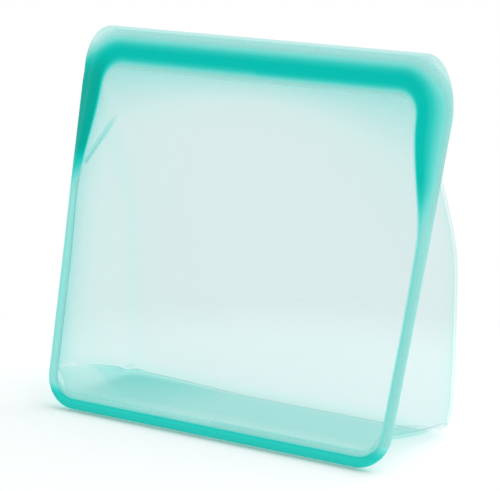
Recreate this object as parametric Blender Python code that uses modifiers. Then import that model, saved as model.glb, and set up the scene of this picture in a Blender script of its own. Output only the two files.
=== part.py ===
"""Stand-up reusable silicone bag with a press-together top closure.

The bag is drawn open-walled: a leaning front panel in a thick rim, a rear wall that
rises straight and then curves forward to the closure, two side gussets and a base.
World axes: X to the right, Y to the back, Z up. Lengths below are in millimetres.
"""

import math

import bmesh
import bpy
import numpy as np
from mathutils import Matrix

MM = 0.001

# Whole bag
TOP_WIDTH = 197.0
BOTTOM_WIDTH = 181.0
SLANT_HEIGHT = 178.3
BASE_DEPTH = 73.5
LEAN = math.radians(16.2)

# Walls and clearances
WALL = 1.4
BASE_WALL = 1.6
GAP = 0.3

# Front rim, from the bottom bead to the wide upper flanges
RIM_WIDTH = 4.8
RIM_THICK = 4.6
BOTTOM_RADIUS = 15.0
TOP_RADIUS = 17.0
FLANGE_WIDTH = 14.8
FLANGE_THICK = 2.6
FLANGE_TAPER = 61.0
FLANGE_CLEAR = 5.0
PANEL_RECESS = 1.5
PANEL_BULGE = 4.9
BULGE_TAPER = 96.0

# Closure
LIP_HEIGHT = 7.5
LIP_THICK = 2.1
SEAL_HEIGHT = 9.6
TRACK_THICK = 4.0
GROOVE_DEPTH = 2.0
GROOVE_WIDTH = 4.0
GROOVE_DRAFT = 0.4
STRIP_THICK = 2.3

# Rear wall, gussets and base
REAR_STRAIGHT = 72.0
REAR_BOTTOM_RADIUS = 15.0
CORNER_RADIUS = 11.0
GUSSET_INSET = 2.0
EAR_DEPTH = 1.8
FRONT_RISE = 16.0
BASE_CURL = 18.0
FOLD_DEPTH = 9.0
FOLD_HEIGHT = 6.5

# Derived places
FRONT_Y = -BASE_DEPTH / 2
REAR_Y = BASE_DEPTH / 2
FRONT_Z = RIM_THICK * math.sin(LEAN)
LIP_FOOT = SLANT_HEIGHT - LIP_HEIGHT
SEAL_TOP = LIP_FOOT - GAP
SEAL_FOOT = SEAL_TOP - SEAL_HEIGHT
PANEL_TOP = SEAL_FOOT - GAP
PANEL_FOOT = RIM_WIDTH + GAP
FLANGE_TOP = PANEL_TOP - FLANGE_CLEAR
STRIP_FRONT = TRACK_THICK + GAP
CLOSURE_DEPTH = STRIP_FRONT + WALL - PANEL_BULGE
CLOSURE_Z = FRONT_Z + PANEL_TOP * math.cos(LEAN) - CLOSURE_DEPTH * math.sin(LEAN)
CLOSURE_Y = FRONT_Y + PANEL_TOP * math.sin(LEAN) + CLOSURE_DEPTH * math.cos(LEAN)
REAR_HALF = BOTTOM_WIDTH / 2 - CORNER_RADIUS - GAP / 2
SEAL_WIDTH = BOTTOM_WIDTH + (TOP_WIDTH - BOTTOM_WIDTH) * SEAL_FOOT / SLANT_HEIGHT
CLOSURE_HALF = SEAL_WIDTH / 2 - FLANGE_WIDTH - GAP


def smooth(t):
    """Smoothstep of t, clipped to 0..1."""
    t = np.clip(t, 0.0, 1.0)
    return t * t * (3.0 - 2.0 * t)


def half_width(v):
    """Half width of the front outline at height v up the slope, before the corners are rounded."""
    return (BOTTOM_WIDTH + (TOP_WIDTH - BOTTOM_WIDTH) * v / SLANT_HEIGHT) / 2


def flare(v):
    """How far the rim has turned from bead to flange at height v up the slope, 0 to 1."""
    return smooth((v - FLANGE_TOP + FLANGE_TAPER) / FLANGE_TAPER)


def rim_width(v):
    """Rim width at height v up the slope: a bead below, a wide flange at the closure."""
    return RIM_WIDTH + (FLANGE_WIDTH - RIM_WIDTH) * flare(v)


def rim_thick(v):
    """Rim thickness at height v up the slope: thick bead, thinner flange."""
    return RIM_THICK + (FLANGE_THICK - RIM_THICK) * flare(v)


def bulge(v):
    """How far the panel and closure stand forward of the rim's outline at height v up the slope."""
    return PANEL_BULGE * smooth((v - FLANGE_TOP + BULGE_TAPER) / BULGE_TAPER)


def rear_y(z):
    """Outer face of the rear wall at height z: rounded foot, straight rise, forward curve."""
    lift = np.clip(1.0 - z / REAR_BOTTOM_RADIUS, 0.0, 1.0)
    foot = REAR_BOTTOM_RADIUS * (1.0 - np.sqrt(1.0 - lift ** 2))
    lean = smooth((z - REAR_STRAIGHT) / (CLOSURE_Z - REAR_STRAIGHT))
    return REAR_Y - foot - (REAR_Y - CLOSURE_Y) * lean


def fold_front():
    """Place along Y where the rear fold begins on the base."""
    return float(rear_y(BASE_WALL + GAP)) - FOLD_DEPTH


def side_rise(y):
    """Height of the pouch's lower side edge at y: up at the front rim's corner, down at the rear fold."""
    first = FRONT_Y + RIM_THICK / math.cos(LEAN) + FRONT_RISE * math.tan(LEAN)
    last = fold_front() - GAP
    return FRONT_RISE * (1.0 - np.clip((y - first) / (last - first), 0.0, 1.0) ** 1.5)


def leaning(x, v, depth):
    """World point of the leaning front: x across, v up the slope, depth behind the front face."""
    y = FRONT_Y + v * math.sin(LEAN) + depth * math.cos(LEAN)
    z = FRONT_Z + v * math.cos(LEAN) - depth * math.sin(LEAN)
    return np.stack(np.broadcast_arrays(x, y, z), axis=-1)


def material(name, colour, roughness):
    """Satin silicone of one colour."""
    made = bpy.data.materials.new(name)
    made.use_nodes = True
    shader = made.node_tree.nodes["Principled BSDF"]
    shader.inputs["Base Color"].default_value = (*colour, 1.0)
    shader.inputs["Roughness"].default_value = roughness
    shader.inputs["Metallic"].default_value = 0.0
    return made


def finish(name, mesh, pivot, skin):
    """Puts a mesh drawn in world millimetres into the bag, with its origin at the pivot."""
    mesh.transform(Matrix.Diagonal((MM, MM, MM, 1.0)))
    place = Matrix.Translation([value * MM for value in pivot])
    mesh.transform(place.inverted())
    obj = bpy.data.objects.new(name, mesh)
    obj.matrix_world = place
    mesh.materials.append(skin)
    bag.objects.link(obj)
    return obj


def shell(name, front, back, pivot, skin):
    """Closed solid between two matching grids of points, front facing out."""
    rows, cols, _ = front.shape
    build = bmesh.new()
    near = [[build.verts.new(point) for point in row] for row in front]
    far = [[build.verts.new(point) for point in row] for row in back]
    for i in range(rows - 1):
        for j in range(cols - 1):
            build.faces.new((near[i][j], near[i][j + 1], near[i + 1][j + 1], near[i + 1][j]))
            build.faces.new((far[i + 1][j], far[i + 1][j + 1], far[i][j + 1], far[i][j]))
    for i in range(rows - 1):
        build.faces.new((far[i][0], near[i][0], near[i + 1][0], far[i + 1][0]))
        build.faces.new((near[i][-1], far[i][-1], far[i + 1][-1], near[i + 1][-1]))
    for j in range(cols - 1):
        build.faces.new((far[0][j], far[0][j + 1], near[0][j + 1], near[0][j]))
        build.faces.new((near[-1][j], near[-1][j + 1], far[-1][j + 1], far[-1][j]))
    bmesh.ops.recalc_face_normals(build, faces=build.faces)
    mesh = bpy.data.meshes.new(name)
    build.to_mesh(mesh)
    build.free()
    return finish(name, mesh, pivot, skin)


def bar(name, profile, half, pivot, skin):
    """Straight bar along X with a closed profile of (up the slope, behind the closure's face) points."""
    build = bmesh.new()
    corners = [build.verts.new(leaning(-half, v, depth - bulge(v))) for v, depth in profile]
    face = build.faces.new(corners)
    grown = bmesh.ops.extrude_face_region(build, geom=[face])
    moved = [item for item in grown["geom"] if isinstance(item, bmesh.types.BMVert)]
    bmesh.ops.translate(build, verts=moved, vec=(2 * half, 0.0, 0.0))
    bmesh.ops.recalc_face_normals(build, faces=build.faces)
    mesh = bpy.data.meshes.new(name)
    build.to_mesh(mesh)
    build.free()
    return finish(name, mesh, pivot, skin)


def soften(obj, width, segments):
    """Rounds the sharp edges of a piece."""
    bevel = obj.modifiers.new("soft_edges", "BEVEL")
    bevel.width = width * MM
    bevel.segments = segments
    bevel.limit_method = "ANGLE"
    bevel.angle_limit = math.radians(40.0)


def side_rim(name, side, skin):
    """One side rim: a bead from the bottom corner up, spreading into the tilted corner flange."""
    v = np.concatenate((
        np.linspace(BOTTOM_RADIUS + GAP, SLANT_HEIGHT - TOP_RADIUS, 26)[:-1],
        SLANT_HEIGHT - TOP_RADIUS * (1.0 - np.sin(np.linspace(0.0, math.pi / 2, 9))),
    ))
    climb = np.clip((v - SLANT_HEIGHT + TOP_RADIUS) / TOP_RADIUS, 0.0, 1.0)
    rounding = TOP_RADIUS * (1.0 - np.sqrt(1.0 - climb ** 2))
    outer = half_width(v) - np.minimum(rounding, rim_width(v) - GAP)
    inner = half_width(v) - rim_width(v)
    across = np.linspace(0.0, 1.0, 7)[None, :]
    x = inner[:, None] + (outer - inner)[:, None] * across
    swing = (x - inner[:, None]) / rim_width(v)[:, None]
    depth = -bulge(v)[:, None] * (1.0 - swing ** 1.5)
    front = leaning(side * x, v[:, None], depth)
    back = leaning(side * x, v[:, None], depth + rim_thick(v)[:, None])
    soften(shell(name, front, back, (0.0, FRONT_Y, 0.0), skin), 0.7, 2)


def bottom_rim(name, skin):
    """The bottom bead, carried round both lower corners."""
    turn = np.linspace(0.0, math.pi / 2, 10)
    edge = half_width(BOTTOM_RADIUS) - BOTTOM_RADIUS
    arc_x = edge + BOTTOM_RADIUS * np.sin(turn)
    arc_v = BOTTOM_RADIUS * (1.0 - np.cos(turn))
    flat = np.linspace(-edge, edge, 9)[1:-1]
    out_x = np.concatenate((-arc_x[::-1], flat, arc_x))
    out_v = np.concatenate((arc_v[::-1], flat * 0.0, arc_v))
    centre_x = np.clip(out_x, -edge, edge)
    scale = 1.0 - RIM_WIDTH / BOTTOM_RADIUS
    in_x = centre_x + (out_x - centre_x) * scale
    in_v = BOTTOM_RADIUS + (out_v - BOTTOM_RADIUS) * scale
    x = np.stack((out_x, in_x))
    v = np.stack((out_v, in_v))
    front = leaning(x, v, 0.0)
    back = leaning(x, v, RIM_THICK)
    soften(shell(name, front, back, (0.0, FRONT_Y, 0.0), skin), 0.7, 2)


def front_panel(name, pivot, skin):
    """The thin see-through panel, inside the rim with its lower corners rounded to suit."""
    radius = BOTTOM_RADIUS - PANEL_FOOT
    v = np.concatenate((
        BOTTOM_RADIUS - radius * np.cos(np.linspace(0.0, math.pi / 2, 9)),
        np.linspace(BOTTOM_RADIUS, PANEL_TOP, 24)[1:],
    ))
    drop = np.clip((BOTTOM_RADIUS - v) / radius, 0.0, 1.0)
    rounding = radius * (1.0 - np.sqrt(1.0 - drop ** 2))
    half = half_width(np.maximum(v, BOTTOM_RADIUS)) - rim_width(v) - GAP - rounding
    x = half[:, None] * np.linspace(-1.0, 1.0, 9)[None, :]
    depth = PANEL_RECESS - bulge(v)[:, None]
    front = leaning(x, v[:, None], depth)
    back = leaning(x, v[:, None], depth + WALL)
    shell(name, front, back, pivot, skin)


def rear_wall(name, pivot, skin):
    """The rear sheet between the gussets, from the foot to the closure strip."""
    z = np.linspace(FOLD_HEIGHT + GAP, CLOSURE_Z, 40)
    y = rear_y(z)
    slope_y = np.gradient(y, z)
    length = np.sqrt(1.0 + slope_y ** 2)
    x = REAR_HALF * np.linspace(1.0, -1.0, 9)[None, :]
    outside = np.stack(np.broadcast_arrays(x, y[:, None], z[:, None]), axis=-1)
    inside_y = (y - WALL / length)[:, None]
    inside_z = (z + WALL * slope_y / length)[:, None]
    inside = np.stack(np.broadcast_arrays(x, inside_y, inside_z), axis=-1)
    shell(name, outside, inside, pivot, skin)


def gusset(name, side, skin):
    """One side wall: from behind the front rim, back along the side and round the rear corner.

    Above the curve it narrows to a flat ear that closes the bag behind the rim's flange.
    """
    share = np.linspace(0.0, 1.0, 31)[:, None]
    along = np.linspace(0.0, 1.0, 25)[None, :]
    flat_part = 0.6
    run = np.clip(along / flat_part, 0.0, 1.0)
    turn = np.clip((along - flat_part) / (1.0 - flat_part), 0.0, 1.0) * math.pi / 2
    rear_edge = REAR_HALF + GAP

    def wall(z, inset):
        v = (z - FRONT_Z) / math.cos(LEAN)
        begin = FRONT_Y + v * math.sin(LEAN) + (rim_thick(v) + GAP) / math.cos(LEAN)
        centre = rear_y(z)
        end = np.maximum(centre, begin + EAR_DEPTH)
        bend = np.minimum(CORNER_RADIUS, 0.6 * (end - begin))
        front_x = half_width(v) - GUSSET_INSET
        drawn_in = CORNER_RADIUS * smooth((centre - begin) / CORNER_RADIUS)
        rear_x = np.maximum(BOTTOM_WIDTH / 2, front_x - drawn_in)
        straight_x = front_x + (rear_x - front_x) * smooth(run) - inset
        straight_y = begin + (end - bend - begin) * run
        round_x = rear_edge + (rear_x - rear_edge - inset) * np.cos(turn)
        round_y = end - bend + (bend - inset) * np.sin(turn) - (end - centre) * smooth(turn / math.pi * 2)
        x = np.where(along <= flat_part, straight_x, round_x)
        y = np.where(along <= flat_part, straight_y, round_y)
        return np.stack(np.broadcast_arrays(side * x, y, z), axis=-1)

    foot = np.full_like(along, BASE_WALL + GAP)
    for _ in range(6):
        foot = side_rise(wall(foot, 0.0)[..., 1]) + BASE_WALL + GAP
    z = foot + (CLOSURE_Z - foot) * share
    shell(name, wall(z, 0.0), wall(z, WALL), (0.0, 0.0, 0.0), skin)


def base_panel(name, skin):
    """The floor of the bag: flat underneath, its sides curling up to meet the gussets."""
    rear = float(rear_y(BASE_WALL + GAP))
    last = fold_front() - GAP
    lead = FRONT_Y + RIM_THICK / math.cos(LEAN) + GAP + BASE_WALL * math.tan(LEAN)
    half = BOTTOM_WIDTH / 2 - GUSSET_INSET - WALL / 2
    level = np.concatenate((np.linspace(lead, last, 20), np.linspace(last, rear, 8)[1:]))[:, None]
    flat = 1.0 - BASE_CURL / half
    curl = np.linspace(flat, 1.0, 9)
    across = np.concatenate((-curl[::-1], np.linspace(-flat, flat, 9)[1:-1], curl))[None, :]
    bend = np.clip((level - rear + CORNER_RADIUS) / CORNER_RADIUS, 0.0, 1.0)
    x = (half - CORNER_RADIUS * (1.0 - np.sqrt(1.0 - bend ** 2))) * across
    edge = smooth((np.abs(across) - flat) / (1.0 - flat))
    back = np.clip((last - level) / (last - lead), 0.0, 1.0)
    y = level + edge * FRONT_RISE * math.tan(LEAN) * back
    lift = edge * side_rise(y)
    under = np.stack(np.broadcast_arrays(x, y, lift), axis=-1)
    over = np.stack(np.broadcast_arrays(x, y, lift + BASE_WALL), axis=-1)
    shell(name, over, under, (0.0, 0.0, 0.0), skin)


def rear_fold(name, skin):
    """The thickened fold along the rear bottom edge, between the base and the rear wall."""
    z = np.linspace(BASE_WALL + GAP, FOLD_HEIGHT, 9)
    back = rear_y(z)
    begin = fold_front()
    across = np.linspace(0.0, 1.0, 5)[None, :]
    y = begin + (back - begin)[:, None] * across
    right = np.stack(np.broadcast_arrays(REAR_HALF, y, z[:, None]), axis=-1)
    left = right * np.array((-1.0, 1.0, 1.0))
    soften(shell(name, right, left, (0.0, REAR_Y, 0.0), skin), 0.6, 2)


for old in list(bpy.data.objects):
    bpy.data.objects.remove(old)

bag = bpy.data.collections.new("reusable_silicone_bag")
bpy.context.scene.collection.children.link(bag)

clear_silicone = material("clear_aqua_silicone", (0.62, 0.84, 0.82), 0.42)
rim_silicone = material("deep_aqua_silicone", (0.05, 0.52, 0.46), 0.38)
lip_silicone = material("pale_aqua_silicone", (0.45, 0.78, 0.76), 0.42)

# Pouch: rims, gussets, base and rear fold
bottom_rim("bottom_rim", rim_silicone)
side_rim("left_rim", -1.0, rim_silicone)
side_rim("right_rim", 1.0, rim_silicone)
gusset("left_gusset", -1.0, clear_silicone)
gusset("right_gusset", 1.0, clear_silicone)
base_panel("base_panel", clear_silicone)
rear_fold("rear_fold", clear_silicone)

# Front wall: panel, grooved track and lip, turning about the panel's foot
front_hinge = leaning(0.0, PANEL_FOOT, PANEL_RECESS + WALL / 2)
front_panel("front_panel", front_hinge, clear_silicone)
seal_middle = (SEAL_FOOT + SEAL_TOP) / 2
track = [
    (SEAL_FOOT, 0.0),
    (SEAL_TOP, 0.0),
    (SEAL_TOP, TRACK_THICK),
    (seal_middle + GROOVE_WIDTH / 2, TRACK_THICK),
    (seal_middle + GROOVE_WIDTH / 2 - GROOVE_DRAFT, TRACK_THICK - GROOVE_DEPTH),
    (seal_middle - GROOVE_WIDTH / 2 + GROOVE_DRAFT, TRACK_THICK - GROOVE_DEPTH),
    (seal_middle - GROOVE_WIDTH / 2, TRACK_THICK),
    (SEAL_FOOT, TRACK_THICK),
]
bar("front_seal_track", track, CLOSURE_HALF, front_hinge, rim_silicone)
lip = [
    (LIP_FOOT, 0.5),
    (SLANT_HEIGHT, 0.5),
    (SLANT_HEIGHT, 0.5 + LIP_THICK),
    (LIP_FOOT, 0.5 + LIP_THICK),
]
soften(bar("front_lip", lip, CLOSURE_HALF, front_hinge, lip_silicone), 0.6, 2)

# Rear wall: sheet, ribbed strip and lip, turning about the sheet's foot
rear_hinge = (0.0, float(rear_y(FOLD_HEIGHT + GAP)) - WALL / 2, FOLD_HEIGHT + GAP)
rear_wall("rear_wall", rear_hinge, clear_silicone)
strip_back = STRIP_FRONT + STRIP_THICK
strip = [
    (SEAL_FOOT, strip_back),
    (SEAL_TOP, strip_back),
    (SEAL_TOP, STRIP_FRONT),
    (seal_middle + GROOVE_WIDTH / 2 - GAP, STRIP_FRONT),
    (seal_middle + GROOVE_WIDTH / 2 - GROOVE_DRAFT - GAP, STRIP_FRONT - GROOVE_DEPTH),
    (seal_middle - GROOVE_WIDTH / 2 + GROOVE_DRAFT + GAP, STRIP_FRONT - GROOVE_DEPTH),
    (seal_middle - GROOVE_WIDTH / 2 + GAP, STRIP_FRONT),
    (SEAL_FOOT, STRIP_FRONT),
]
bar("rear_seal_rib", strip, CLOSURE_HALF, rear_hinge, rim_silicone)
rear_lip_front = 0.5 + LIP_THICK + GAP
rear_lip = [
    (LIP_FOOT, rear_lip_front),
    (SLANT_HEIGHT, rear_lip_front),
    (SLANT_HEIGHT, rear_lip_front + LIP_THICK),
    (LIP_FOOT, rear_lip_front + LIP_THICK),
]
soften(bar("rear_lip", rear_lip, CLOSURE_HALF, rear_hinge, lip_silicone), 0.6, 2)
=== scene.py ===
"""Reusable silicone bag, dressed for a studio picture.

Sections: camera, floor and light, front wall, rear wall with gussets, base. The bag's lengths are in
millimetres and are turned to metres where a mesh is made. Camera, table and light are in metres.
"""

import math

import bpy
import numpy as np
from mathutils import Matrix, Vector


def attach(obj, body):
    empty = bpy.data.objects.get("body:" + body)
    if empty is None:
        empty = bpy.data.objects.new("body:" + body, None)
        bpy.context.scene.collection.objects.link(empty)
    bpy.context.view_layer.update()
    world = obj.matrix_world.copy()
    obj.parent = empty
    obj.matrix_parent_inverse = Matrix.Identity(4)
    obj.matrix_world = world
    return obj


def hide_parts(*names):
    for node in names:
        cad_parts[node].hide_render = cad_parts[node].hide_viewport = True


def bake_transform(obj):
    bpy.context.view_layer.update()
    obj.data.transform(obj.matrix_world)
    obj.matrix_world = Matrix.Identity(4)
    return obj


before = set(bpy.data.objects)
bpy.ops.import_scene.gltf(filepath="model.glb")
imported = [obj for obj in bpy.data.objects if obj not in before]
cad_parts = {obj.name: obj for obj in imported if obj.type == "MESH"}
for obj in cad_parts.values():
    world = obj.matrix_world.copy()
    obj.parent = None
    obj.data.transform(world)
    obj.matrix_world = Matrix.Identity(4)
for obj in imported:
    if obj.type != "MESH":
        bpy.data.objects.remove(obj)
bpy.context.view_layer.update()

# Camera
# A long studio lens a little under a metre away, above the bag and to its right.
# Azimuth, height, distance and focal length come from the straight edges of the bag.
camera_turn = math.radians(32.87)
camera_rise = math.radians(13.33)
camera_reach = 0.9737
camera_aim = Vector((0.0003, 0.0, 0.0812))
camera_back = Vector((
    math.sin(camera_turn) * math.cos(camera_rise),
    -math.cos(camera_turn) * math.cos(camera_rise),
    math.sin(camera_rise),
))
sensor_mm = 36.0
focal_pixels = 2168.0
picture_pixels = 500.0
camera = bpy.data.objects.new("camera", bpy.data.cameras.new("camera"))
camera.data.sensor_width = sensor_mm
camera.data.lens = focal_pixels * sensor_mm / picture_pixels
camera.data.clip_start = 0.05
camera.data.clip_end = 20.0
camera.matrix_world = Matrix.Translation(camera_aim + camera_back * camera_reach) @ (
    (-camera_back).to_track_quat("-Z", "Y").to_matrix().to_4x4()
)
bpy.context.scene.collection.objects.link(camera)
bpy.context.scene.camera = camera
bpy.context.scene.view_settings.view_transform = "Standard"
# Light crosses up to four thin walls, two faces each, before and after it meets the table.
bpy.context.scene.cycles.transparent_max_bounces = 32

# Floor and light
# A white acrylic table, faintly lit from below, under a large soft box overhead, behind and to the
# right, in a pale room. Round the bag the table keeps its shadow; further out it fades to plain white.
table_half = 1.3
table_z = -0.0002
fade_start = 0.125
fade_end = 0.22
light_side = 1.4
light_aim = Vector((0.0, 0.0, 0.05))


def linear(code):
    """An sRGB hex colour as linear RGBA."""
    parts = [int(code[i:i + 2], 16) / 255.0 for i in (1, 3, 5)]
    return (*[c / 12.92 if c <= 0.04045 else ((c + 0.055) / 1.055) ** 2.4 for c in parts], 1.0)


def add(tree, kind, links=(), sockets=(), **settings):
    """Adds a node with its settings, fixed sockets and incoming links (socket, node, output)."""
    node = tree.nodes.new(kind)
    for key, value in settings.items():
        setattr(node, key, value)
    for key, value in sockets:
        node.inputs[key].default_value = value
    for key, source, out in links:
        tree.links.new(source.outputs[out], node.inputs[key])
    return node


# Opal acrylic, cast and satin on top: shadows on it are soft, because it glows a little itself.
acrylic = bpy.data.materials.new("opal_cast_acrylic")
acrylic.use_nodes = True
tree = acrylic.node_tree
tree.nodes.clear()
satin_top = add(tree, "ShaderNodeBsdfDiffuse", sockets=[("Color", linear("#fbfbfb"))])
lit_below = add(tree, "ShaderNodeEmission", sockets=[("Color", linear("#ffffff")), ("Strength", 0.04)])
glowing = add(tree, "ShaderNodeAddShader", [(0, satin_top, 0), (1, lit_below, 0)])
spot = add(tree, "ShaderNodeTexCoord")
far = add(tree, "ShaderNodeVectorMath", [(0, spot, "Object")], operation="LENGTH")
faded = add(
    tree,
    "ShaderNodeMapRange",
    [("Value", far, "Value")],
    [("From Min", fade_start), ("From Max", fade_end)],
    interpolation_type="SMOOTHSTEP",
)
plain = add(tree, "ShaderNodeEmission", sockets=[("Color", linear("#ffffff")), ("Strength", 1.0)])
fading = add(tree, "ShaderNodeMixShader", [(0, faded, 0), (1, glowing, 0), (2, plain, 0)])
add(tree, "ShaderNodeOutputMaterial", [("Surface", fading, 0)])
floor_mesh = bpy.data.meshes.new("acrylic_table")
floor_mesh.from_pydata(
    [
        (-table_half, -table_half, table_z),
        (table_half, -table_half, table_z),
        (table_half, table_half, table_z),
        (-table_half, table_half, table_z),
    ],
    [],
    [(0, 1, 2, 3)],
)
floor_mesh.materials.append(acrylic)
floor = bpy.data.objects.new("acrylic_table", floor_mesh)
bpy.context.scene.collection.objects.link(floor)

# The room lights the bag a little less brightly than the white that is seen, mirrored or seen through.
room = bpy.data.worlds.new("pale_room")
bpy.context.scene.world = room
room.use_nodes = True
tree = room.node_tree
tree.nodes.clear()
path = add(tree, "ShaderNodeLightPath")
seen = add(
    tree,
    "ShaderNodeMath",
    [(0, path, "Is Camera Ray"), (1, path, "Is Glossy Ray")],
    operation="MAXIMUM",
)
shown = add(
    tree,
    "ShaderNodeMath",
    [(0, seen, 0), (1, path, "Is Transmission Ray")],
    operation="MAXIMUM",
)
glow = add(tree, "ShaderNodeBackground", sockets=[("Color", linear("#ffffff")), ("Strength", 0.71)])
white = add(tree, "ShaderNodeBackground", sockets=[("Color", linear("#ffffff")), ("Strength", 1.0)])
sky = add(tree, "ShaderNodeMixShader", [(0, shown, 0), (1, glow, 0), (2, white, 0)])
add(tree, "ShaderNodeOutputWorld", [("Surface", sky, 0)])

box_light = bpy.data.lights.new("soft_box", "AREA")
box_light.shape = "RECTANGLE"
box_light.size = light_side
box_light.size_y = light_side
box_light.energy = 10.5
soft_box = bpy.data.objects.new("soft_box", box_light)
soft_box.location = (0.45, 0.55, 1.08)
soft_box.rotation_euler = (light_aim - soft_box.location).to_track_quat("-Z", "Y").to_euler()
bpy.context.scene.collection.objects.link(soft_box)

# Front wall
# The leaning front of the moulding: a thin see-through panel that thickens into the bead round
# its edge, the wide flanges at the top corners, the grooved seal strip and the pull lip above it.
# Two halves meet on the middle plane, so that the corners stay pinched when the mouth opens.
mm = 0.001
lean = math.radians(16.2)
front_y = -36.75
rim_thick = 4.6
front_z = rim_thick * math.sin(lean)
slant = 178.3
low_half = 90.5
top_half = 98.5
low_radius = 15.0
inner_radius = 11.0
bead = 4.8
flange = 14.8
closure = 17.7
closure_foot = slant - closure
flange_drop = 5.0
flange_top = closure_foot - flange_drop
flare_run = 61.0
panel_bulge = 4.9
bulge_run = 96.0
swing_power = 1.5
ring_power = 2.2
# Thicknesses, edge roundings and depths behind the front plane.
wall = 1.4
lip_extra = 0.7
seal_extra = 1.6
least_thick = 0.25
bead_round = 2.3
lip_round = 1.1
bead_depth = 2.25
band_depth = 1.6
band_settle = 0.6
belly_deep = 1.2
belly_run = 60.0
# The crease: its upper end, its run outward and down, its width and depth.
crease_x = 73.0
crease_v = 136.7
crease_out = 14.5
crease_down = 22.0
crease_wide = 0.8
crease_deep = 0.35
# What differs between the left (-1) and the right (1): corner rounding across and up, where the band's
# colour starts up the slope, and how far the back face's share is shifted.
corner_across = {-1.0: 18.0, 1.0: 15.0}
corner_up = {-1.0: 18.0, 1.0: 30.0}
band_start = {-1.0: 97.0, 1.0: 100.0}
back_shift = {-1.0: 0.22, 1.0: 0.0}
# Tints, from 0, clear, to 1, the deepest aqua. Pairs are a place on the way in and a width.
plain_tint = 0.02
lip_tint = 0.12
deep_tint = 0.90
foot_tint = 0.80
core_tint = 0.18
# Painted shade along the crease's line.
crease_painted_shade = 0.28
closure_fade = 0.155
# On the left the flange's outer part and its deep colour are painted shade, for the side turned from the
# light; on the right the outer part is only a little deeper.
flange_outer_and_shade = {-1.0: 0.86, 1.0: 0.10}
flange_deep_shade = {-1.0: 0.10, 1.0: 0.00}
bead_side = {-1.0: 0.25, 1.0: 0.32}
bead_core = {-1.0: (0.45, 0.28), 1.0: (0.85, 0.50)}
band_inner = {-1.0: (0.88, 0.24), 1.0: (0.92, 0.18)}


def smooth(t):
    """Smoothstep of t, clipped to 0..1."""
    t = np.clip(t, 0.0, 1.0)
    return t * t * (3.0 - 2.0 * t)


def rounding(radius, share):
    """Inset of a quarter circle: the radius, less the radius times the root of one less share squared."""
    return radius * (1.0 - np.sqrt(1.0 - share ** 2))


def half_width(v):
    """Half width of the straight-sided front at v up the slope."""
    return low_half + (top_half - low_half) * v / slant


def round_half(v, side):
    """Half width on one side with the lower corner rounded to a circle and the upper to an ellipse."""
    low = np.clip((low_radius - v) / low_radius, 0.0, 1.0)
    high = np.clip((v - slant + corner_up[side]) / corner_up[side], 0.0, 1.0)
    cut = rounding(low_radius, low) + rounding(corner_across[side], high)
    return half_width(v) - cut


def flare_at(v):
    """Share of the way from bead (0) to flange (1) at v: a smoothstep, full at flange_top."""
    return smooth((v - flange_top + flare_run) / flare_run)


def bulge_at(v):
    """How far panel and closure stand forward of the outline at v: a smoothstep, full at flange_top."""
    return panel_bulge * smooth((v - flange_top + bulge_run) / bulge_run)


def leaning(x, v, depth):
    """World point, in mm, of a point x across, v up the slope and depth behind the front plane."""
    y = front_y + v * math.sin(lean) + depth * math.cos(lean)
    z = front_z + v * math.cos(lean) - depth * math.sin(lean)
    return np.stack(np.broadcast_arrays(x, y, z), axis=-1)


def rim_inner(v):
    """Half width inside the rim at v: straight sides, lower corners concentric with the outline,
    upper corners rounded to inner_radius under the closure."""
    low_core = low_radius - bead
    low = np.clip((low_radius - v) / low_core, 0.0, 1.0)
    high = np.clip((v - slant + closure + inner_radius) / inner_radius, 0.0, 1.0)
    cut = rounding(low_core, low) + rounding(inner_radius, high)
    return half_width(v) - bead - (flange - bead) * flare_at(v) - cut


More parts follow.
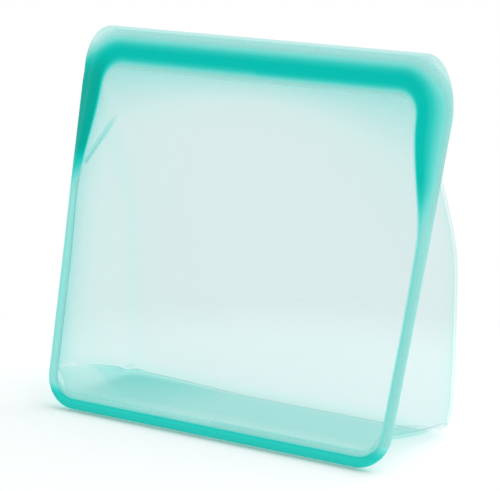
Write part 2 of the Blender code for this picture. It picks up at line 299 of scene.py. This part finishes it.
def front_form(side):
    """Front and back grids of one half, and the tints of these two faces.

    Rows run up the slope, columns from the middle plane to the rim's inner edge and on to the
    outline. Each point knows its share of the way in from the outline to that inner edge (0 to 1,
    over 1 on the panel); thickness, place and tint follow from that share. On the left the back
    face takes a larger share beside the closure, so its colour ends nearer the outline.
    """
    quarter = np.linspace(0.0, math.pi / 2, 25)
    low_turn = low_radius - (low_radius - bead) * np.cos(quarter)
    high_turn = closure_foot - inner_radius + inner_radius * np.sin(quarter)
    v = np.concatenate((
        bead * (0.5 - 0.5 * np.cos(np.linspace(0.0, math.pi, 19)))[:-1],
        low_turn[:-1],
        np.linspace(low_radius, closure_foot - inner_radius, 150)[:-1],
        high_turn[:-1],
        slant - closure * (0.5 + 0.5 * np.cos(np.linspace(0.0, math.pi, 45))),
    ))[:, None]
    inside = np.sin(np.linspace(0.0, math.pi / 2, 60)) * 0.6 + np.linspace(0.0, 1.0, 60) * 0.4
    rim_share = 0.5 - 0.5 * np.cos(np.linspace(0.0, math.pi, 41))[1:]
    inner_x = rim_inner(v)
    rim_x = inner_x + (round_half(v, side) - inner_x) * rim_share
    x = np.concatenate((inner_x * inside, rim_x), axis=1)
    inward = half_width(v) - x
    flare = flare_at(v)
    width = bead + (flange - bead) * flare

    # The share of the way in: by circles at the lower corners, by squarish ellipses at the upper ones.
    low_a = np.clip(1.0 - inward / low_radius, 0.0, None)
    low_b = np.clip(1.0 - v / low_radius, 0.0, None)
    low_in = low_radius * (1.0 - np.hypot(low_a, low_b)) / bead
    top_a = np.clip(1.0 - inward / (width + inner_radius), 0.0, None) ** ring_power
    top_b = np.clip(1.0 - (slant - v) / (closure + inner_radius), 0.0, None) ** ring_power
    ring = (top_a + top_b) ** (1 / ring_power)
    over = top_b / np.maximum(top_a + top_b, 1e-6)
    band = width + (closure - width) * over
    top_in = (1.0 - ring) * (band + inner_radius) / band
    span = np.where(low_in < top_in, bead, band)
    within = np.clip(np.minimum(low_in, top_in), 0.0, None)

    # Thickness: a round bead below, a lip and a seal strip above.
    bead_edge = np.clip(1.0 - within * span / bead_round, 0.0, 1.0)
    bead_thick = wall + (rim_thick - wall) * (1.0 - smooth((within - 0.50) / 0.42))
    bead_thick = bead_thick * np.sqrt(1.0 - bead_edge ** 2)
    lip_edge = np.clip(1.0 - within * span / lip_round, 0.0, 1.0)
    lip = 1.0 - smooth((within - 0.72) / 0.32)
    seal = smooth((within - 0.25) / 0.34) * lip
    band_thick = (wall + lip_extra * lip + seal_extra * seal) * np.sqrt(1.0 - lip_edge ** 2)
    thick = np.maximum((1.0 - flare) * bead_thick + flare * band_thick, least_thick)

    # Depth of the middle of the wall: the panel bellies out, the closure stands forward.
    belly = smooth((inward - width) / belly_run) * smooth(v / belly_run)
    belly = belly * smooth((closure_foot - v) / belly_run)
    swing = 1.0 - np.clip(inward / width, 0.0, 1.0)
    band_middle = band_depth + band_settle * smooth((within - 0.30) / 0.6)
    middle = (1.0 - flare) * bead_depth + flare * band_middle - belly_deep * belly
    middle = middle - bulge_at(v) * (1.0 - swing ** swing_power)

    # On the left a soft crease runs down from under the closure to the flange. Its shallow dip is made
    # here; the tint below darkens its line with painted shade.
    crease_along = (x - crease_x) * crease_out + (crease_v - v) * crease_down
    crease_share = np.clip(crease_along / (crease_out ** 2 + crease_down ** 2), 0.0, 1.0)
    crease_far = np.hypot(
        x - crease_x - crease_out * crease_share,
        v - crease_v + crease_down * crease_share,
    )
    crease = np.exp(-((crease_far / crease_wide) ** 2)) * smooth(crease_share * 2.0 + 0.2) * (side < 0)
    middle = middle + crease_deep * crease
    front = leaning(side * x, v, middle - thick / 2)
    back = leaning(side * x, v, middle + thick / 2)

    # Tint: the band of closure and flanges above, the bead below, both fading into the panel. On the left
    # the flange and the panel beside it are darkened with painted shade.
    hue = smooth((v - band_start[side]) / 26.0)
    beside = (1.0 - over) * smooth((slant - v - 6.0) / 14.0)
    outer_tint = lip_tint + flange_outer_and_shade[side] * beside
    deep = deep_tint + flange_deep_shade[side] * beside
    inner_start, inner_soft = band_inner[side]
    core_place, core_wide = bead_core[side]
    below = np.clip(closure_foot - v, 0.0, None)
    top_fade = closure_fade * np.exp(-below / (8.0 + 14.0 * (x / 80.0) ** 2))
    past = np.clip(inward - width, 0.0, None)
    # Painted shade on the left of the panel, darkest beside the flange.
    left_shade = (side < 0) * (0.06 * np.exp(-past / 4.0) + 0.06 * np.exp(-past / 30.0))
    fade = plain_tint + np.maximum(top_fade, left_shade)
    under = smooth((low_b - 0.15) / 0.5)
    shifted = within + back_shift[side] * (1.0 - over) * smooth((within - 0.5) / 0.3)
    tints = []
    for near in (within, shifted):
        rise = over * smooth((near - 0.02) / 0.60) + (1.0 - over) * np.clip(near / 0.67, 0.0, 1.0) ** 0.68
        band_tint = outer_tint + (deep - outer_tint) * rise
        band_end = smooth((near - inner_start + 0.12 * over) / (inner_soft + 0.16 * over))
        band_tint = band_tint + (fade - band_tint) * band_end
        core = np.exp(-(((near - core_place) / core_wide) ** 2))
        bead_tint = bead_side[side] + core_tint * core
        bead_tint = bead_tint + (foot_tint - bead_tint) * under
        beyond = np.clip(near - 1.0, 0.0, None) * span
        bead_fade = fade + 0.36 * under * np.exp(-((beyond / 2.4) ** 2))
        bead_tint = bead_tint + (bead_fade - bead_tint) * smooth((near - 0.85) / 0.25)
        tints.append(hue * band_tint + (1.0 - hue) * bead_tint + crease_painted_shade * crease)
    return front, back, tints


def skin(name, outer, inner, tints, side, shut):
    """A wall of moulded silicone between an outer and an inner grid, as one mesh.

    Each grid cell gives one outward and one inward quad; the borders named in shut are closed with
    a strip. The tints of the two grids are kept on the points.
    """
    rows, cols, _ = outer.shape
    count = rows * cols
    points = np.concatenate((outer.reshape(-1, 3), inner.reshape(-1, 3))) * mm
    spot = np.arange(count).reshape(rows, cols)
    cell = np.stack((spot[:-1, :-1], spot[:-1, 1:], spot[1:, 1:], spot[1:, :-1]), axis=-1).reshape(-1, 4)
    quads = [cell, cell[:, ::-1] + count]
    borders = {
        "first_row": spot[0, ::-1],
        "last_row": spot[-1],
        "first_col": spot[:, 0],
        "last_col": spot[::-1, -1],
    }
    for border in shut:
        line = borders[border]
        quads.append(np.stack((line[:-1], line[1:], line[1:] + count, line[:-1] + count), axis=-1))
    faces = np.concatenate(quads)
    if side < 0:
        faces = faces[:, ::-1]
    mesh = bpy.data.meshes.new(name)
    mesh.from_pydata(points, [], faces)
    mesh.attributes.new("tint", "FLOAT", "POINT").data.foreach_set(
        "value", np.concatenate([np.ravel(tint) for tint in tints]).astype(np.float32)
    )
    mesh.polygons.foreach_set("use_smooth", np.ones(len(faces), dtype=bool))
    mesh.validate()
    piece = bpy.data.objects.new(name, mesh)
    bpy.context.scene.collection.objects.link(piece)
    return piece


# Platinum-cured silicone rubber, tinted aqua through its mass and moulded in a satin steel tool.
# Thin walls are clear and pale, thick beads deep aqua; the tool leaves a soft broad sheen.
silicone = bpy.data.materials.new("satin_aqua_silicone")
silicone.use_nodes = True
tree = silicone.node_tree
tree.nodes.clear()
amount = add(tree, "ShaderNodeAttribute", attribute_name="tint")
body_colour = add(tree, "ShaderNodeValToRGB", [("Fac", amount, "Fac")])
pass_colour = add(tree, "ShaderNodeValToRGB", [("Fac", amount, "Fac")])
solidity = add(tree, "ShaderNodeValToRGB", [("Fac", amount, "Fac")])
for ramp, stops in (
    (body_colour, (
        (0.0, "#e4f2f1"),
        (0.25, "#d4f9f7"),
        (0.5, "#8cf5ee"),
        (0.75, "#3ae2d6"),
        (0.9, "#03d6c8"),
        # Only the left flange's painted shade reaches the colour past 0.9.
        (1.0, "#02bfae"),
    )),
    (pass_colour, (
        (0.0, "#ffffff"),
        (0.02, "#f7fbfb"),
        (0.06, "#f2fbfa"),
        (0.14, "#dcf7f5"),
        (0.25, "#c4f7f4"),
        (0.5, "#7cebe1"),
        (1.0, "#20e0d0"),
    )),
    (solidity, (
        (0.0, "#000000"),
        (0.02, "#404040"),
        (0.06, "#363636"),
        (0.14, "#505050"),
        (0.25, "#b8b8b8"),
        (0.5, "#f4f4f4"),
    )),
):
    while len(ramp.color_ramp.elements) < len(stops):
        ramp.color_ramp.elements.new(0.5)
    for element, (share, code) in zip(ramp.color_ramp.elements, stops):
        element.position = share
        element.color = linear(code)
place = add(tree, "ShaderNodeTexCoord")
# Cloudy cells 20 mm wide vary the sheen; a 0.7 mm grain is the tool's satin.
cloud = add(tree, "ShaderNodeTexNoise", [("Vector", place, "Object")], [("Scale", 50.0), ("Detail", 2.0)])
gloss = add(tree, "ShaderNodeMapRange", [("Value", cloud, "Fac")], [("To Min", 0.38), ("To Max", 0.50)])
grit = add(tree, "ShaderNodeTexNoise", [("Vector", place, "Object")], [("Scale", 1400.0), ("Detail", 2.0)])
satin = add(tree, "ShaderNodeBump", [("Height", grit, "Fac")], [("Strength", 0.04), ("Distance", 0.0001)])
rubber = add(
    tree,
    "ShaderNodeBsdfPrincipled",
    [("Base Color", body_colour, "Color"), ("Roughness", gloss, 0), ("Normal", satin, 0)],
    [("IOR", 1.41), ("Specular IOR Level", 0.06)],
)
see_through = add(tree, "ShaderNodeBsdfTransparent", [("Color", pass_colour, "Color")])
mixed = add(tree, "ShaderNodeMixShader", [(0, solidity, "Color"), (1, see_through, 0), (2, rubber, 0)])
add(tree, "ShaderNodeOutputMaterial", [("Surface", mixed, 0)])

for side, name in ((-1.0, "front_wall_left"), (1.0, "front_wall_right")):
    front, back, tints = front_form(side)
    piece = skin(name, front, back, tints, side, ("first_row", "last_row", "last_col"))
    piece.data.materials.append(silicone)
    rim = "left_rim" if side < 0 else "right_rim"
    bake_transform(piece)
    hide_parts("front_panel", "front_seal_track", "front_lip", "bottom_rim", rim)

# Rear wall with gussets
# The other side of the pouch, one sheet: from behind the front rim back along the side, round the
# rear corner and across the rear, straight at first, then curving forward to the ribbed closure strip.
rear_edge = 36.75
rear_straight = 72.0
foot_radius = 15.0
foot_z = 0.4
corner = 11.0
corner_share = 0.6
corner_least = 3.0
inset = 1.6
flange_inset = 3.0
rim_back = 3.7
flange_thinner = 0.7
gusset_straight = 30.0
ear_depth = 1.5
ear_back = 2.6
roll = 1.2
seam_lap = 0.6
base_half = low_half - inset - roll + seam_lap
# The lower side edge: its height in front and at the heel, how far back it falls, its curl's width.
front_rise = 16.0
heel_rise = 4.2
heel_drop = 2.2
rise_front = -27.3
rise_run = 47.0
rise_power = 1.5
curl_least = 13.0
curl_extra = 11.0
fold_share = 0.6
# The closure strip and the lip above it.
closure_back = 5.7
closure_depth = closure_back - panel_bulge
closure_z = front_z + closure_foot * math.cos(lean) - closure_depth * math.sin(lean)
closure_y = front_y + closure_foot * math.sin(lean) + closure_depth * math.cos(lean)
strip_stand = 0.9
strip_high = 8.6
strip_soft = 1.5
lip_step = 1.6
lip_forward = 0.7
lip_drop = 1.2
strip_tint = 0.58
strip_fade = 0.56
# Shares along a level cut at which the side and the corner end.
side_end = 0.4
corner_end = 0.65
# Tint of the fold above the base and of the rear corner, with where the one starts and how wide the
# other is, on the left (-1) and the right (1).
fold_tint = 0.08
fold_start = {-1.0: 0.10, 1.0: 0.62}
corner_streak = {-1.0: (0.03, 0.05), 1.0: (0.06, 0.10)}


def rear_line(z):
    """Outer face of the rear on the middle plane at height z.

    A quarter circle at the foot, a straight rise, a smoothstep forward to the closure, and from there
    the strip and the lip along the front's lean.
    """
    lift = np.clip(1.0 - z / foot_radius, 0.0, 1.0)
    foot = rounding(foot_radius, lift)
    bend = smooth((z - rear_straight) / (closure_z - rear_straight))
    low = rear_edge - foot - (rear_edge - closure_y) * bend
    stand = strip_stand * smooth((z - closure_z) / strip_soft)
    strip = stand - lip_step * smooth((z - closure_z - strip_high) / strip_soft)
    high = closure_y + (z - closure_z) * math.tan(lean) + strip
    return np.where(z < closure_z, low, high)


def side_rise(x, y):
    """Height of the pouch's lower side edge at y: most behind the front rim, least at the heel.

    It falls by a power of the way back. On the left it goes on falling round the heel.
    """
    way = np.clip((y - rise_front) / rise_run, 0.0, 1.0)
    rise = heel_rise + (front_rise - heel_rise) * (1.0 - way ** rise_power)
    return rise - heel_drop * smooth((y - 14.0) / 12.0) * (x < 0.0)


def side_curl(x, y):
    """Share of the side's rise at (x, y).

    It is a smoothstep over the outer part of the base, widest halfway back. The left of the rear fold
    also rises a little, by a wider smoothstep.
    """
    curl = curl_least + curl_extra * smooth((y + 27.0) / 18.0) * (1.0 - smooth((y + 2.0) / 22.0))
    edge = smooth((np.abs(x) - base_half + curl) / curl)
    return edge + (1.0 - edge) * fold_share * smooth((-x - 10.0) / 70.0) * smooth(y / 20.0)


def level_cut(z, foot, t, side):
    """Place (x, y) at share t along a level cut of one half at height z, over its foot.

    The cut leaves the front rim, runs back along the side, turns an elliptic corner and crosses to
    the middle plane. Its last bit above the foot rolls under on a circle.
    """
    v = (z - front_z) / math.cos(lean)
    for _ in range(2):
        flare = flare_at(v)
        gap_in = inset + flange_inset * flare
        swing = 1.0 - gap_in / (bead + (flange - bead) * flare)
        behind = rim_back - flange_thinner * flare - bulge_at(v) * (1.0 - swing ** swing_power) * flare
        v = np.minimum((z - front_z + behind * math.sin(lean)) / math.cos(lean), slant)
    edge_x = np.where(v < gusset_straight, half_width(v), round_half(v, side)) - gap_in
    begin = front_y + v * math.sin(lean) + behind * math.cos(lean)
    centre = rear_line(z)
    end = np.maximum(centre, begin + ear_depth)
    bend = np.minimum(corner, corner_share * (end - begin))
    tuck = np.clip(1.0 - (z - foot) / roll, 0.0, 1.0)
    rolled = rounding(roll, tuck)
    drawn_in = edge_x - corner * smooth((centre - begin) / corner)
    side_x = np.minimum(edge_x, np.maximum(low_half, drawn_in))
    turn_x = np.minimum(low_half - corner, side_x - corner_least)
    run = np.clip(t / side_end, 0.0, 1.0)
    turn = np.clip((t - side_end) / (corner_end - side_end), 0.0, 1.0) * math.pi / 2
    cross = np.clip((t - corner_end) / (1.0 - corner_end), 0.0, 1.0)
    x1 = edge_x + (side_x - edge_x) * smooth(run) - rolled
    y1 = begin + (end - bend - begin) * run
    x2 = turn_x + (side_x - rolled - turn_x) * np.cos(turn)
    y2 = end - bend + bend * np.sin(turn) - (end - centre) * smooth(turn * 2.0 / math.pi)
    x = np.where(t < side_end, x1, np.where(t < corner_end, x2, turn_x * (1.0 - cross)))
    return x, np.where(t < side_end, y1, np.where(t < corner_end, y2, centre))


def rear_form(side):
    """Outer and inner grids and the tint of one half.

    Rows are level cuts from the base's edge to the lip, columns follow the cut. Above the curve the
    side narrows to an ear against the back of the front flange.
    """
    share = np.concatenate((np.linspace(0.0, 0.06, 16)[:-1], np.linspace(0.06, 1.0, 140)))[:, None]
    t = np.concatenate((
        np.linspace(0.0, side_end, 30)[:-1],
        np.linspace(side_end, corner_end, 26)[:-1],
        np.linspace(corner_end, 1.0, 40),
    ))[None, :]
    # The foot's height depends on its place and its place on its height: damped steps find both.
    foot = np.full_like(t, foot_z)
    for _ in range(14):
        x, y = level_cut(foot, foot, t, side)
        foot = 0.5 * foot + 0.5 * (foot_z + side_rise(side * x, y) * side_curl(side * x, y))
    past_side = smooth((t - side_end) / (corner_end - side_end))
    hang = closure_depth - lip_forward + ear_back * (1.0 - past_side)
    top = front_z + (slant - lip_drop) * math.cos(lean) - hang * math.sin(lean)
    z = foot + (top - foot) * share
    x, y = level_cut(z, foot, t, side)
    outer = np.stack(np.broadcast_arrays(side * x, y, z), axis=-1)
    along = np.gradient(outer, axis=1)
    up = np.gradient(outer, axis=0)
    normal = np.cross(along, up) * side
    normal /= np.maximum(np.linalg.norm(normal, axis=-1, keepdims=True), 1e-9)
    strip = smooth((z - closure_z) / strip_soft) * smooth((t - 0.58) / 0.10)
    thick = (wall + strip_stand * strip) * (0.15 + 0.85 * smooth((z - foot) / 3.0))
    inner = outer - normal * thick[..., None]

    ear = smooth((z - closure_z + 30.0) / 25.0) * (1.0 - smooth((t - side_end) / 0.22))
    strip_colour = strip_tint - strip_fade * smooth((z - closure_z - strip_high) / 2.0)
    tint = plain_tint * (1.0 - ear) + strip * strip_colour
    fold = fold_tint * (1.0 - smooth((z - foot) / 4.5)) * smooth((t - fold_start[side]) / 0.10)
    streak, streak_wide = corner_streak[side]
    streak = streak * np.exp(-(((t - 0.5) / streak_wide) ** 2)) * smooth((closure_z - z) / 30.0)
    tint = tint + fold + streak
    return outer, inner, tint * (0.5 + 0.5 * smooth((z - foot) / 2.5))


for side, name in ((-1.0, "rear_wall_left"), (1.0, "rear_wall_right")):
    outer, inner, tint = rear_form(side)
    piece = skin(name, outer, inner, (tint, tint), side, ("first_row", "last_row", "first_col"))
    piece.data.materials.append(silicone)
    gusset = "left_gusset" if side < 0 else "right_gusset"
    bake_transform(piece)
    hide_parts("rear_wall", "rear_seal_rib", "rear_lip", gusset)

# Base
# The floor of the pouch, moulded in one with the walls: flat on the table, its sides curling up to
# the gussets, its rear corners a little off the table and its front edge running into the bottom bead.
# The rear half and the left are deeper in colour.
base_rear = 26.5
base_z = 0.1
base_thick = 1.6
border_thinner = 1.2
border_run = 4.0
bead_share = 0.7
base_tint = 0.054
rear_tint = 0.034
left_tint = 0.03
left_curl_tint = 0.07


def base_form():
    """Upper and lower grids and the tint of the base.

    Rows run from the front bead to the rear fold, columns across. The sides rise by a smoothstep,
    most at the front; the rear corners are elliptic, and where they rise they follow the rear wall's
    foot. The upper face dips along the sides and the rear, so the base thins towards the walls.
    """
    share = np.linspace(0.0, 1.0, 90)[:, None]
    across = np.linspace(-1.0, 1.0, 161)[None, :]
    lead = front_y + rim_thick * bead_share / math.cos(lean)
    level = lead + (base_rear - lead) * share
    bend = np.clip((level - base_rear + corner) / corner, 0.0, 1.0)
    x = (base_half - rounding(corner - roll, bend)) * across
    edge = side_curl(x, level)
    y = level + edge * front_rise * math.tan(lean) * (1.0 - share)
    further = rear_line(foot_z + edge * side_rise(x, y)) - rear_line(foot_z)
    y = y + further * smooth((share - 0.55) / 0.3)
    lift = base_z + edge * side_rise(x, y)
    under = np.stack(np.broadcast_arrays(x, y, lift), axis=-1)
    side_border = smooth(((np.abs(across) - 1.0) * base_half + border_run) / border_run)
    border = np.maximum(side_border, smooth((level - base_rear + border_run) / border_run))
    over = np.stack(np.broadcast_arrays(x, y, lift + base_thick - border_thinner * border), axis=-1)

    tint = base_tint + rear_tint * smooth((level + 12.0) / 8.0) + left_tint * smooth((-x - 20.0) / 60.0)
    right_curl = (plain_tint - tint) * smooth(edge * 1.6)
    left_curl = left_curl_tint * edge * smooth((level + 20.0) / 30.0)
    tint = tint + np.where(x > 0.0, right_curl, left_curl)
    tint = tint * (1.0 - 0.45 * border)
    return over, under, tint


over, under, tint = base_form()
base = skin("base", over, under, (tint, tint), 1.0, ("first_row", "last_row", "first_col", "last_col"))
base.data.materials.append(silicone)
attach(base, "pouch")
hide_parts("base_panel", "rear_fold")
